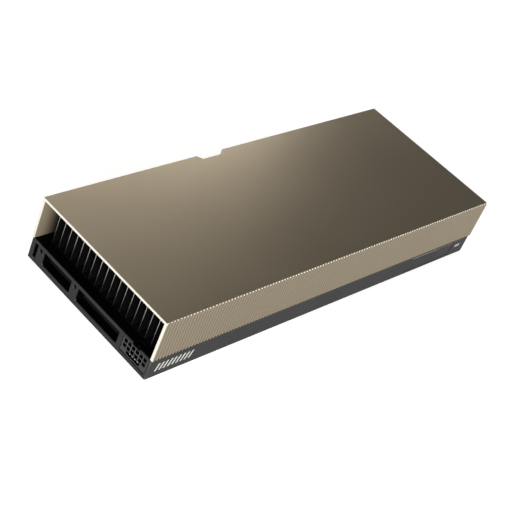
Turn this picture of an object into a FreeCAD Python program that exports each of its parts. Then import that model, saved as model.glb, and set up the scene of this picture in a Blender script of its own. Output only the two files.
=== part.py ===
"""Passive accelerator card: a two-slot card cooled by the air of the machine it sits in.

All sub-parts are drawn in one corner frame, in millimetres: X runs from the inlet end to the
outlet end, Y from the near long face to the edge tongue, Z from the underside to the cover.
A Placement then moves each of them so that the card is centred on the origin, with Z up.
"""
import FreeCAD, Part
import os
import re

import Sketcher

SIZES = [
    # the whole card
    ("card_length", 267.7),
    ("card_thickness", 39.0),
    # shroud: cover of the air duct
    ("shroud_width", 100.0),
    ("connector_reach", 11.15),
    ("shroud_top", 1.5),
    ("shroud_wall", 1.8),
    ("rib_spacing", 2.18),
    ("rib_depth", 1.0),
    ("rib_land", 0.3),
    ("notch_to_tongue", 29.75),
    ("notch_mouth", 20.3),
    ("notch_depth", 3.3),
    ("notch_slope", 2.4),
    # base frame: cast ring and deck under the duct
    ("frame_thickness", 13.1),
    ("frame_inset", 0.7),
    ("frame_wall", 1.8),
    ("end_wall", 5.5),
    ("deck_thickness", 2.05),
    ("window_end", 6.5),
    ("window_side", 7.0),
    ("locating_rib", 1.5),
    ("locating_rib_rise", 3.0),
    ("locating_rib_start", 16.0),
    ("locating_rib_end", 5.0),
    ("vent_floor", 3.0),
    ("near_vent_start", 25.0),
    ("vent_divider", 5.6),
    ("far_vent_width", 23.3),
    ("far_vent_inset", 12.0),
    ("vent_corner", 1.0),
    ("extender_hole", 2.5),
    ("extender_spacing", 29.0),
    ("extender_height", 9.8),
    ("extender_depth", 5.0),
    ("slot_inset", 3.8),
    ("slot_width", 2.7),
    ("slot_floor", 2.7),
    ("slot_height", 8.8),
    ("slot_depth", 4.0),
    ("bracket_hole", 2.5),
    ("bracket_hole_inset", 12.0),
    ("bracket_hole_height", 7.5),
    ("bracket_hole_depth", 5.0),
    ("edge_chamfer", 0.4),
    # perimeter screws: backplate, board and frame held together
    ("screw_start", 26.0),
    ("screw_end", 9.7),
    ("screw_inset", 5.2),
    ("screw_shank", 2.5),
    ("screw_head", 4.0),
    ("screw_head_depth", 0.9),
    ("screw_grip", 4.0),
    ("post_side", 5.6),
    # shroud screws
    ("shroud_screw_height", 14.7),
    ("shroud_screw_from_notch", 32.0),
    ("shroud_screw_shank", 1.6),
    ("shroud_screw_head", 2.8),
    ("shroud_screw_head_depth", 0.7),
    # clearances
    ("panel_gap", 0.3),
    ("receptacle_gap", 0.2),
    ("cover_gap", 0.1),
    ("screw_gap", 0.1),
    ("fin_top_gap", 0.3),
    # backplate and insulator
    ("underside_gap", 2.67),
    ("backplate_thickness", 1.6),
    ("backplate_rim", 4.8),
    ("insulator_thickness", 0.25),
    ("insulator_margin", 1.2),
    # circuit board
    ("board_thickness", 1.57),
    ("tongue_depth", 8.25),
    ("tongue_to_outlet", 44.55),
    ("tongue_length", 85.2),
    ("tongue_corner", 1.3),
    ("tongue_bevel", 0.4),
    ("key_from_end", 11.65),
    ("key_width", 1.9),
    ("key_depth", 7.9),
    ("hook_gap", 5.9),
    ("hook_width", 6.0),
    ("hook_depth", 5.7),
    ("hook_undercut", 1.6),
    ("contact_spacing", 1.0),
    ("contact_width", 0.7),
    ("contact_length", 4.3),
    ("contact_thickness", 0.05),
    ("contact_edge_gap", 1.0),
    # bridge connector on the near edge
    ("bridge_post_gap", 2.7),
    ("bridge_length", 41.3),
    ("bridge_floor", 1.8),
    ("bridge_height", 9.2),
    ("bridge_recess", 0.1),
    ("bridge_cover_thickness", 1.3),
    ("bridge_cover_chamfer", 0.5),
    ("bridge_contact_spacing", 2.0),
    ("bridge_contact_width", 1.0),
    ("bridge_contact_length", 3.5),
    # processor package
    ("package_from_inlet", 128.0),
    ("package_offset", 2.0),
    ("package_margin", 1.4),
    ("substrate_thickness", 2.0),
    ("ring_width", 2.5),
    ("ring_thickness", 0.6),
    ("die_length", 26.0),
    ("die_width", 31.0),
    ("die_thickness", 0.8),
    ("memory_length", 10.0),
    ("memory_width", 9.5),
    ("memory_gap", 0.6),
    # heat sink
    ("heatsink_plate_thickness", 1.6),
    ("chamber_length", 150.0),
    ("chamber_side_gap", 2.0),
    ("chamber_thickness", 2.9),
    ("chamber_corner", 4.0),
    ("standoff_margin", 6.0),
    ("standoff_side", 5.5),
    ("heatsink_screw_grip", 4.0),
    ("fin_count", 17),
    ("fin_near_gap", 9.7),
    ("fin_far_gap", 7.82),
    ("fin_thickness", 0.4),
    ("fin_groove", 0.6),
    ("fin_groove_gap", 0.05),
    ("fin_setback", 7.3),
    # board components
    ("inductor_offset", 55.0),
    ("inductor_side", 6.5),
    ("inductor_height", 3.6),
    ("stage_offset", 46.0),
    ("stage_length", 5.0),
    ("stage_width", 6.0),
    ("stage_height", 0.9),
    ("capacitor_offset", 64.0),
    ("capacitor_length", 4.3),
    ("capacitor_width", 7.3),
    ("capacitor_height", 2.8),
    ("power_row_spacing", 8.5),
    ("power_row_count", 8),
    ("choke_from_inlet", 24.0),
    ("choke_side", 10.0),
    ("choke_count", 3),
    ("choke_height", 4.8),
    ("choke_spacing", 13.0),
    ("choke_first", 32.0),
    ("chip_from_outlet", 38.0),
    ("chip_side", 7.0),
    ("chip_height", 0.9),
    ("chip_spacing", 18.0),
    # power receptacle
    ("receptacle_start", 2.5),
    ("receptacle_width", 19.7),
    ("receptacle_floor", 2.1),
    ("receptacle_height", 9.4),
    ("receptacle_depth", 13.0),
    ("receptacle_recess", 0.4),
    ("latch_gap_width", 6.1),
    ("latch_gap_depth", 5.0),
    ("ramp_width", 2.0),
    ("ramp_length", 2.2),
    ("ramp_rise", 0.8),
    ("cell_spacing", 3.0),
    ("cell_side", 2.45),
    ("cell_columns", 6),
    ("cell_low_row", 6.65),
    ("cell_high_row", 9.65),
    ("cell_depth", 9.0),
    ("pin_side", 0.9),
    ("pin_recess", 2.0),
    ("pin_foot", 1.6),
    ("pin_clearance", 0.6),
    ("pin_hole_gap", 0.1),
    ("sense_width", 10.5),
    ("sense_floor", 2.9),
    ("sense_height", 2.2),
    ("sense_depth", 6.0),
    ("sense_recess", 0.8),
    ("sense_spacing", 2.0),
    ("sense_pin_side", 0.5),
    ("sense_pins", 4),
]

doc = FreeCAD.newDocument("passive_accelerator_card")
sheet = doc.addObject("Spreadsheet::Sheet", "Sizes")
for row, (alias, number) in enumerate(SIZES, start=1):
    sheet.set(f"A{row}", str(number))
    sheet.setAlias(f"A{row}", alias)
doc.recompute()

ALIASES = {alias: "Sizes." + alias for alias, number in SIZES}
SUBPARTS = []


# ---------------------------------------------------------------- expressions
def dim(text):
    """Turn a formula in the sheet's aliases into an expression FreeCAD can bind."""
    return re.sub(r"[a-z_]+", lambda word: ALIASES.get(word.group(), word.group()), text)


def value(text):
    """The number that a formula in the sheet's aliases stands for."""
    return float(sheet.evalExpression(dim(text)))


def centred(middle, width, side):
    """The formula for one end (side -1 or 1) of a width laid about a middle."""
    return f"{middle} + {side} * ( {width} ) / 2"


CARD_HEIGHT = "(shroud_width + connector_reach)"
NEAR_INNER = "(frame_inset + frame_wall)"
FAR_OUTER = "(shroud_width - frame_inset)"
FAR_INNER = f"({FAR_OUTER} - frame_wall)"
DECK_UNDER = "(frame_thickness - deck_thickness)"
BOARD_TOP = "(underside_gap + board_thickness)"
BOARD_START = "(end_wall + panel_gap)"
BOARD_END = "(card_length - end_wall - panel_gap)"
BOARD_NEAR = f"({NEAR_INNER} + panel_gap)"
BOARD_FAR = f"({CARD_HEIGHT} - tongue_depth)"
TONGUE_END = "(card_length - tongue_to_outlet)"
TONGUE_START = f"({TONGUE_END} - tongue_length)"
NOTCH_START = f"({TONGUE_START} - notch_to_tongue)"
NOTCH_END = f"({NOTCH_START} + notch_mouth)"
BOARD_GAP_BACK = "(receptacle_recess + receptacle_depth + panel_gap)"
BOARD_GAP_FAR = "(receptacle_start + receptacle_width + panel_gap)"
RIM_START = f"({BOARD_START} + backplate_rim)"
RIM_END = f"({BOARD_END} - backplate_rim)"
RIM_NEAR = f"({BOARD_NEAR} + backplate_rim)"
RIM_FAR = f"({FAR_OUTER} - frame_wall - backplate_rim)"
NOTCH_FLOOR = "(shroud_width - notch_depth)"
WINDOW_FAR = "(shroud_width - window_side)"
SCREW_FAR = "(shroud_width - screw_inset)"
SCREW_COLUMNS = ("screw_start", "(card_length - screw_end)")
BRIDGE_END = f"({SCREW_COLUMNS[-1]} - post_side / 2 - bridge_post_gap)"
BRIDGE_START = f"({BRIDGE_END} - bridge_length)"
FAR_VENT_END = "(shroud_width - far_vent_inset)"
FAR_VENT_START = f"({FAR_VENT_END} - far_vent_width)"
NEAR_VENT_END = f"({FAR_VENT_START} - vent_divider)"
DIVIDER_MIDDLE = f"({NEAR_VENT_END} + vent_divider / 2)"
SLOT_END = "(shroud_width - slot_inset)"
RECEPTACLE_MIDDLE = "(receptacle_start + receptacle_width / 2)"
FIRST_CELL = f"({RECEPTACLE_MIDDLE} - ( cell_columns - 1 ) / 2 * cell_spacing)"
RECEPTACLE_TOP = "(receptacle_floor + receptacle_height)"
RECEPTACLE_BACK = "(receptacle_recess + receptacle_depth)"
KEY_END = f"({TONGUE_END} - key_from_end)"
HOOK_END = f"({TONGUE_START} - hook_gap)"
SUBSTRATE_SIDE = "(die_length + 2 * ( memory_gap + memory_length + package_margin + ring_width ))"
STANDOFF_SPACING = f"({SUBSTRATE_SIDE} + 2 * standoff_margin)"
PACKAGE_NEAR = "(shroud_width / 2 + package_offset)"
CHAMBER_WIDTH = f"(2 * ({WINDOW_FAR} - chamber_side_gap - {PACKAGE_NEAR}))"
DIE_TOP = f"({BOARD_TOP} + substrate_thickness + die_thickness)"
PLATE_UNDER = "(frame_thickness - heatsink_plate_thickness)"
CHAMBER_UNDER = f"({PLATE_UNDER} - chamber_thickness)"
FAR_RIB_OUTER = "(shroud_width - shroud_wall - panel_gap)"
RIB_BREAK_START = f"({NOTCH_START} - shroud_wall - locating_rib)"
RIB_BREAK_END = f"({NOTCH_END} + shroud_wall + locating_rib)"
SHROUD_RISE = "(card_thickness - frame_thickness)"
FIN_SPACING = "(( shroud_width - fin_near_gap - fin_far_gap - fin_thickness ) / ( fin_count - 1 ))"


# ---------------------------------------------------------------- modelling helpers
def place(thing):
    """Move a sub-part from the corner frame to the card's own frame."""
    thing.setExpression("Placement.Base.x", dim("- card_length / 2"))
    thing.setExpression("Placement.Base.y", dim(f"- {CARD_HEIGHT} / 2"))


def keep(thing, label):
    """Name a finished sub-part and add it to the list that is written out."""
    thing.Label = label
    place(thing)
    SUBPARTS.append(thing)
    return thing


def new_body(label):
    body = doc.addObject("PartDesign::Body", label)
    return keep(body, label)


def new_sketch(body, plane, level):
    """An empty sketch parallel to an origin plane of the body, at a level along its normal."""
    sketch = body.newObject("Sketcher::SketchObject", "sketch")
    support = [datum for datum in body.Origin.OriginFeatures if datum.Role == plane][0]
    sketch.AttachmentSupport = [(support, "")]
    sketch.MapMode = "FlatFace"
    sketch.setExpression("AttachmentOffset.Base.z", dim(level))
    return sketch


def fix_point(sketch, line, end, across, up):
    """Bind one end of a sketch line to two formulas, measured from the sketch's origin."""
    for kind, text in (("DistanceX", across), ("DistanceY", up)):
        rule = Sketcher.Constraint(kind, -1, 1, line, end, value(text))
        index = sketch.addConstraint(rule)
        sketch.setExpression(f"Constraints[{index}]", dim(text))


def polygon(sketch, corners):
    """A closed outline through corners given as pairs of formulas."""
    first = sketch.GeometryCount
    spots = [FreeCAD.Vector(value(across), value(up), 0) for across, up in corners]
    for start, end in zip(spots, spots[1:] + spots[:1]):
        sketch.addGeometry(Part.LineSegment(start, end))
    count = len(corners)
    for index in range(count):
        following = first + (index + 1) % count
        sketch.addConstraint(Sketcher.Constraint("Coincident", first + index, 2, following, 1))
    for index, (across, up) in enumerate(corners):
        fix_point(sketch, first + index, 1, across, up)


def rectangle(sketch, left, right, low, high):
    polygon(sketch, [(left, low), (right, low), (right, high), (left, high)])


def circle(sketch, across, up, diameter):
    """A circle whose centre and diameter are given as formulas."""
    middle = FreeCAD.Vector(value(across), value(up), 0)
    index = sketch.addGeometry(Part.Circle(middle, FreeCAD.Vector(0, 0, 1), value(diameter) / 2))
    fix_point(sketch, index, 3, across, up)
    rule = sketch.addConstraint(Sketcher.Constraint("Diameter", index, value(diameter)))
    sketch.setExpression(f"Constraints[{rule}]", dim(diameter))


def pad(body, sketch, length, reverse=False):
    feature = body.newObject("PartDesign::Pad", "pad")
    feature.Profile = sketch
    feature.Reversed = reverse
    feature.setExpression("Length", dim(length))
    doc.recompute()
    return feature


def pocket(body, sketch, length, along_normal=False):
    """Cut a sketch into the body; a cut that removes nothing is an error."""
    before = body.Shape.Volume
    feature = body.newObject("PartDesign::Pocket", "pocket")
    feature.Profile = sketch
    feature.Reversed = along_normal
    feature.setExpression("Length", dim(length))
    doc.recompute()
    if body.Shape.Volume >= before:
        raise ValueError(f"a pocket of {body.Label} removes nothing")
    return feature


def screw_holes(body, plane, level, spots, diameter, depth):
    """Cut equal round holes that start at a level and run along the plane's normal."""
    holes = new_sketch(body, plane, level)
    for across, up in spots:
        circle(holes, across, up, f"{diameter} + screw_gap")
    return pocket(body, holes, depth, along_normal=True)


def repeat(body, feature, axis, count, pitch):
    """Repeat a feature of the body along one of its origin axes."""
    pattern = body.newObject("PartDesign::LinearPattern", "pattern")
    pattern.Originals = [feature]
    line = [datum for datum in body.Origin.OriginFeatures if datum.Role == axis][0]
    pattern.Direction = (line, [""])
    pattern.Mode = "Spacing"
    pattern.setExpression("Offset", dim(pitch))
    pattern.setExpression("Occurrences", dim(count))
    body.Tip = pattern
    doc.recompute()
    return pattern


def edges_where(body, test):
    """Names of the body's edges whose two end points both pass a test."""
    names = []
    for index, edge in enumerate(body.Tip.Shape.Edges, start=1):
        if len(edge.Vertexes) == 2 and all(test(vertex.Point) for vertex in edge.Vertexes):
            names.append(f"Edge{index}")
    return names


def dress(body, kind, edges, size):
    """Chamfer or fillet some edges of the body's last feature."""
    feature = body.newObject(f"PartDesign::{kind}", kind.lower())
    feature.Base = (body.Group[-2], edges)
    feature.setExpression("Size" if kind == "Chamfer" else "Radius", dim(size))
    doc.recompute()
    return feature


def block(label, low, sides):
    """A box from the formulas of its low corner and its three sides."""
    box = doc.addObject("Part::Box", label)
    for side, text in zip(("Length", "Width", "Height"), sides):
        box.setExpression(side, dim(text))
    for axis, text in zip("xyz", low):
        box.setExpression(f"Placement.Base.{axis}", dim(text))
    return box


def group(label, members):
    """One node that holds several separate solids."""
    compound = doc.addObject("Part::Compound", label)
    compound.Links = members
    return keep(compound, label)


def lone(box):
    """Keep a single box as a node of its own, moved to the card's own frame."""
    for axis, overall in (("x", "card_length"), ("y", CARD_HEIGHT)):
        corner = dict(box.ExpressionEngine)[f".Placement.Base.{axis}"]
        box.setExpression(f"Placement.Base.{axis}", f"{corner} - {dim(overall)} / 2")
    SUBPARTS.append(box)
    return box


def coded(label, shapes):
    """One node whose separate solids are made from the sheet's values by code."""
    feature = doc.addObject("Part::Feature", label)
    feature.Shape = Part.makeCompound(shapes)
    return keep(feature, label)


# ---------------------------------------------------------------- positions that repeat
def perimeter_spots():
    """Formulas for the centres of the screws round the card's rim."""
    return [(across, up) for across in SCREW_COLUMNS for up in ("screw_inset", SCREW_FAR)]


def standoff_spots():
    """Formulas for the four heat sink screws round the processor."""
    return [(centred("package_from_inlet", STANDOFF_SPACING, side),
             centred(PACKAGE_NEAR, STANDOFF_SPACING, end))
            for side in (-1, 1) for end in (-1, 1)]


def shroud_screw_spots():
    """Formulas for the shroud screws of the far wall, one on each side of the notch."""
    return [(f"{NOTCH_START} - shroud_screw_from_notch", "shroud_screw_height"),
            (f"{NOTCH_END} + shroud_screw_from_notch", "shroud_screw_height")]


def notched_outline(near, far, start, end, spread, floor):
    """A plan outline whose far long edge has the latch notch in it."""
    return [
        (start, near),
        (end, near),
        (end, far),
        (f"{NOTCH_END} + {spread}", far),
        (f"{NOTCH_END} - notch_slope + {spread}", floor),
        (f"{NOTCH_START} + notch_slope - {spread}", floor),
        (f"{NOTCH_START} - {spread}", far),
        (start, far),
    ]


# ---------------------------------------------------------------- shroud
def make_shroud():
    """Cover with a plain top and two long walls, the near one ribbed, open at both ends."""
    body = new_body("shroud")
    plan = new_sketch(body, "XY_Plane", "frame_thickness")
    polygon(plan, notched_outline("0", "shroud_width", "0", "card_length", "0", NOTCH_FLOOR))
    pad(body, plan, SHROUD_RISE)

    duct = new_sketch(body, "XY_Plane", "frame_thickness")
    polygon(duct, notched_outline("shroud_wall", "shroud_width - shroud_wall", "- 1",
                                  "card_length + 1", "shroud_wall", f"{NOTCH_FLOOR} - shroud_wall"))
    pocket(body, duct, f"{SHROUD_RISE} - shroud_top", along_normal=True)

    screw_holes(body, "XZ_Plane", "- shroud_width", shroud_screw_spots(), "shroud_screw_shank",
                "shroud_wall")

    groove = new_sketch(body, "XY_Plane", "frame_thickness")
    middle = "(card_length - rib_spacing * floor(card_length / rib_spacing - 1 )) / 2"
    polygon(groove, [
        (f"{middle} - ( rib_spacing - rib_land ) / 2", "0"),
        (f"{middle} - ( rib_spacing - rib_land ) / 2", "- 1"),
        (f"{middle} + ( rib_spacing - rib_land ) / 2", "- 1"),
        (f"{middle} + ( rib_spacing - rib_land ) / 2", "0"),
        (middle, "rib_depth"),
    ])
    cut = pocket(body, groove, SHROUD_RISE, along_normal=True)
    repeat(body, cut, "X_Axis", "floor(card_length / rib_spacing)", "rib_spacing")


# ---------------------------------------------------------------- base frame
def make_base_frame():
    """Cast ring with a deck: carries the duct, closes the board's rim and holds both ends."""
    body = new_body("base_frame")
    plan = new_sketch(body, "XY_Plane", "0")
    polygon(plan, notched_outline("frame_inset", FAR_OUTER, "0", "card_length", "frame_inset",
                                  f"{NOTCH_FLOOR} - frame_inset"))
    pad(body, plan, "frame_thickness")
    ends = (0, value("card_length"))
    corners = edges_where(body, lambda spot: min(abs(spot.x - end) for end in ends) < 0.01)
    upright = [name for name in corners if body.Tip.Shape.getElement(name).BoundBox.ZLength > 1]
    dress(body, "Chamfer", upright, "edge_chamfer")

    cavity = new_sketch(body, "XY_Plane", "0")
    polygon(cavity, notched_outline(NEAR_INNER, FAR_INNER, "end_wall", "card_length - end_wall",
                                    "(frame_inset + frame_wall)",
                                    f"{NOTCH_FLOOR} - frame_inset - frame_wall"))
    pocket(body, cavity, DECK_UNDER, along_normal=True)
    board_exit = new_sketch(body, "XY_Plane", "0")
    rectangle(board_exit, "end_wall", "card_length - end_wall", f"{WINDOW_FAR} - 1", "shroud_width")
    pocket(body, board_exit, BOARD_TOP, along_normal=True)
    window = new_sketch(body, "XY_Plane", "0")
    rectangle(window, "window_end", "card_length - window_end", "window_side", WINDOW_FAR)
    pocket(body, window, "frame_thickness", along_normal=True)

    posts = new_sketch(body, "XY_Plane", BOARD_TOP)
    for across, up in perimeter_spots():
        rectangle(posts, centred(across, "post_side", -1), centred(across, "post_side", 1),
                  centred(up, "post_side", -1), centred(up, "post_side", 1))
    pad(body, posts, f"{DECK_UNDER} - {BOARD_TOP}")
    screw_holes(body, "XY_Plane", BOARD_TOP, perimeter_spots(), "screw_shank", "screw_grip + screw_gap")

    make_inlet_end(body)
    make_outlet_end(body)
    make_bridge_window(body)
    make_locating_ribs(body)


def make_inlet_end(body):
    """Vents, power receptacle opening, extender screw holes and upright slot of the inlet end."""
    vents = new_sketch(body, "YZ_Plane", "0")
    rectangle(vents, "near_vent_start", NEAR_VENT_END, "vent_floor", DECK_UNDER)
    rectangle(vents, FAR_VENT_START, FAR_VENT_END, "vent_floor", DECK_UNDER)
    pocket(body, vents, "end_wall", along_normal=True)
    sides = [value(text) for text in ("near_vent_start", NEAR_VENT_END, FAR_VENT_START, FAR_VENT_END)]
    floor = value("vent_floor")
    corners = edges_where(body, lambda spot: spot.x < value("end_wall") + 0.01
                          and any(abs(spot.y - side) < 0.01 for side in sides)
                          and abs(spot.z - floor) < 0.01)
    runs = [name for name in corners
            if abs(body.Tip.Shape.getElement(name).BoundBox.XLength - value("end_wall")) < 0.01]
    dress(body, "Fillet", runs, "vent_corner")

    opening = new_sketch(body, "YZ_Plane", "0")
    rectangle(opening, "receptacle_start", "receptacle_start + receptacle_width",
              "receptacle_floor", RECEPTACLE_TOP)
    pocket(body, opening, f"{RECEPTACLE_BACK} + panel_gap", along_normal=True)
    latch_gap = new_sketch(body, "XY_Plane", RECEPTACLE_TOP)
    rectangle(latch_gap, "- 1", "latch_gap_depth", centred(RECEPTACLE_MIDDLE, "latch_gap_width", -1),
              centred(RECEPTACLE_MIDDLE, "latch_gap_width", 1))
    pocket(body, latch_gap, "frame_thickness", along_normal=True)

    slot = new_sketch(body, "YZ_Plane", "0")
    rectangle(slot, f"{SLOT_END} - slot_width", SLOT_END, "slot_floor", "slot_floor + slot_height")
    pocket(body, slot, "slot_depth", along_normal=True)
    holes = new_sketch(body, "YZ_Plane", "0")
    for step in (0, 1):
        circle(holes, f"{DIVIDER_MIDDLE} + {step} * extender_spacing", "extender_height", "extender_hole")
    pocket(body, holes, "extender_depth", along_normal=True)


def make_outlet_end(body):
    """Tapped holes that take the bracket of the outlet end."""
    holes = new_sketch(body, "YZ_Plane", "card_length")
    for across in ("bracket_hole_inset", "shroud_width - bracket_hole_inset"):
        circle(holes, across, "bracket_hole_height", "bracket_hole")
    pocket(body, holes, "bracket_hole_depth")


def make_bridge_window(body):
    """Opening of the near wall in front of the bridge connector."""
    window = new_sketch(body, "XZ_Plane", "0")
    rectangle(window, BRIDGE_START, BRIDGE_END, "bridge_floor", "bridge_floor + bridge_height")
    pocket(body, window, NEAR_INNER)


def make_locating_ribs(body):
    """Upstanding ribs that the shroud's long walls slip over, with the shroud screws' holes."""
    ribs = new_sketch(body, "XY_Plane", "frame_thickness")
    end = "card_length - locating_rib_end"
    rectangle(ribs, "locating_rib_start", end, "shroud_wall + panel_gap",
              "shroud_wall + panel_gap + locating_rib")
    rib_inner = f"{FAR_RIB_OUTER} - locating_rib"
    rectangle(ribs, "locating_rib_start", RIB_BREAK_START, rib_inner, FAR_RIB_OUTER)
    rectangle(ribs, RIB_BREAK_END, end, rib_inner, FAR_RIB_OUTER)
    pad(body, ribs, "locating_rib_rise")
    screw_holes(body, "XZ_Plane", f"- {FAR_RIB_OUTER}", shroud_screw_spots(), "shroud_screw_shank",
                "locating_rib")


# ---------------------------------------------------------------- backplate and insulator
def make_backplate():
    """Shallow tray under the board, without a rim at the receptacle and the bridge connector."""
    body = new_body("backplate")
    plate = new_sketch(body, "XY_Plane", "0")
    rectangle(plate, BOARD_START, BOARD_END, BOARD_NEAR, FAR_OUTER)
    pad(body, plate, "underside_gap")
    recess = new_sketch(body, "XY_Plane", "backplate_thickness")
    outside = f"{BOARD_NEAR} - panel_gap"
    polygon(recess, [
        (f"{BOARD_START} - panel_gap", outside),
        (BOARD_GAP_BACK, outside),
        (BOARD_GAP_BACK, RIM_NEAR),
        (BRIDGE_START, RIM_NEAR),
        (BRIDGE_START, outside),
        (BRIDGE_END, outside),
        (BRIDGE_END, RIM_NEAR),
        (RIM_END, RIM_NEAR),
        (RIM_END, RIM_FAR),
        (RIM_START, RIM_FAR),
        (RIM_START, BOARD_GAP_FAR),
        (f"{BOARD_START} - panel_gap", BOARD_GAP_FAR),
    ])
    pocket(body, recess, "underside_gap - backplate_thickness", along_normal=True)
    screw_holes(body, "XY_Plane", "0", perimeter_spots(), "screw_shank", "underside_gap")
    screw_holes(body, "XY_Plane", "0", perimeter_spots(), "screw_head", "screw_head_depth")
    screw_holes(body, "XY_Plane", "0", standoff_spots(), "screw_head", "backplate_thickness")


def make_insulator():
    """Thin film that keeps the board's underside clear of the backplate, open round the screws."""
    body = new_body("insulator_sheet")
    film = new_sketch(body, "XY_Plane", "backplate_thickness")
    rectangle(film, f"{RIM_START} + insulator_margin", f"{RIM_END} - insulator_margin",
              f"{RIM_NEAR} + insulator_margin", f"{RIM_FAR} - insulator_margin")
    pad(body, film, "insulator_thickness")
    windows = new_sketch(body, "XY_Plane", "backplate_thickness")
    width = "screw_head + 2 * panel_gap"
    for across, up in standoff_spots():
        rectangle(windows, centred(across, width, -1), centred(across, width, 1),
                  centred(up, width, -1), centred(up, width, 1))
    pocket(body, windows, "insulator_thickness", along_normal=True)


# ---------------------------------------------------------------- circuit board
def make_circuit_board():
    """Board with the edge tongue, its key slot, the retention hook and a gap for the receptacle."""
    body = new_body("circuit_board")
    plan = new_sketch(body, "XY_Plane", "underside_gap")
    hook_tip = f"{BOARD_FAR} + hook_depth"
    polygon(plan, [
        (BOARD_GAP_BACK, BOARD_NEAR),
        (BOARD_END, BOARD_NEAR),
        (BOARD_END, BOARD_FAR),
        (TONGUE_END, BOARD_FAR),
        (TONGUE_END, f"{CARD_HEIGHT} - tongue_corner"),
        (f"{TONGUE_END} - tongue_corner", CARD_HEIGHT),
        (KEY_END, CARD_HEIGHT),
        (KEY_END, f"{CARD_HEIGHT} - key_depth"),
        (f"{KEY_END} - key_width", f"{CARD_HEIGHT} - key_depth"),
        (f"{KEY_END} - key_width", CARD_HEIGHT),
        (f"{TONGUE_START} + tongue_corner", CARD_HEIGHT),
        (TONGUE_START, f"{CARD_HEIGHT} - tongue_corner"),
        (TONGUE_START, BOARD_FAR),
        (HOOK_END, BOARD_FAR),
        (HOOK_END, hook_tip),
        (f"{HOOK_END} - hook_width", hook_tip),
        (f"{HOOK_END} - hook_width", f"{hook_tip} - hook_undercut"),
        (f"{HOOK_END} - hook_width + hook_undercut", f"{hook_tip} - 2 * hook_undercut"),
        (f"{HOOK_END} - hook_width + hook_undercut", BOARD_FAR),
        (BOARD_START, BOARD_FAR),
        (BOARD_START, BOARD_GAP_FAR),
        (BOARD_GAP_BACK, BOARD_GAP_FAR),
    ])
    pad(body, plan, "board_thickness")
    screw_holes(body, "XY_Plane", "underside_gap", perimeter_spots() + standoff_spots(),
                "screw_shank", "board_thickness")
    reach = value(CARD_HEIGHT)
    bevels = edges_where(body, lambda spot: abs(spot.y - reach) < 0.01)
    runs = [name for name in bevels if body.Tip.Shape.getElement(name).BoundBox.XLength > 1.0]
    dress(body, "Chamfer", runs, "tongue_bevel")


def contact_row(start, end, pitch, width, front, length):
    """Flat contacts laid on both faces of the board between two places along its edge."""
    thickness = value("contact_thickness")
    count = int((end - start) / pitch + 0.01)
    first = (start + end - (count - 1) * pitch - width) / 2
    levels = (value(BOARD_TOP), value("underside_gap") - thickness)
    return [Part.makeBox(width, length, thickness, FreeCAD.Vector(first + step * pitch, front, level))
            for step in range(count) for level in levels]


def make_contacts():
    """Edge contacts of the tongue and of the bridge connector."""
    pitch = value("contact_spacing")
    width = value("contact_width")
    length = value("contact_length")
    front = value(f"{CARD_HEIGHT} - contact_edge_gap") - length
    short = contact_row(value(KEY_END), value(f"{TONGUE_END} - tongue_corner / 2"),
                        pitch, width, front, length)
    long = contact_row(value(f"{TONGUE_START} + tongue_corner / 2"), value(f"{KEY_END} - key_width"),
                       pitch, width, front, length)
    coded("edge_contacts", short + long)
    coded("bridge_contacts", contact_row(
        value(f"{BRIDGE_START} + bridge_contact_spacing"),
        value(f"{BRIDGE_END} - bridge_contact_spacing"),
        value("bridge_contact_spacing"), value("bridge_contact_width"),
        value(f"{BOARD_NEAR} + panel_gap"), value("bridge_contact_length")))


# ---------------------------------------------------------------- bridge connector cover
def make_bridge_cover():
    """Removable plate that closes the near wall's opening, with a tongue above the contacts."""
    body = new_body("bridge_cover")
    front = new_sketch(body, "XZ_Plane", "- frame_inset - bridge_recess")
    top = "bridge_floor + bridge_height - cover_gap"
    rectangle(front, f"{BRIDGE_START} + cover_gap", f"{BRIDGE_END} - cover_gap",
              "bridge_floor + cover_gap", top)
    pad(body, front, "bridge_cover_thickness", reverse=True)
    face = value("frame_inset + bridge_recess")
    upper = edges_where(body, lambda spot: abs(spot.y - face) < 0.01 and abs(spot.z - value(top)) < 0.01)
    dress(body, "Chamfer", upper, "bridge_cover_chamfer")
    tongue = new_sketch(body, "XZ_Plane", "- frame_inset - bridge_recess - bridge_cover_thickness")
    tongue_floor = f"{BOARD_TOP} + contact_thickness + panel_gap"
    rectangle(tongue, f"{BRIDGE_START} + 2 * bridge_contact_spacing",
              f"{BRIDGE_END} - 2 * bridge_contact_spacing",
              tongue_floor, f"{tongue_floor} + bridge_cover_thickness")
    pad(body, tongue, "bridge_contact_length", reverse=True)


# ---------------------------------------------------------------- processor package
def middle_block(label, offset, sides, level, height):
    """A box centred on the processor, shifted by an offset, standing on a level."""
    low = [f"package_from_inlet + {offset[0]} - ( {sides[0]} ) / 2",
           f"{PACKAGE_NEAR} + {offset[1]} - ( {sides[1]} ) / 2", level]
    return block(label, low, [sides[0], sides[1], height])


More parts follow.
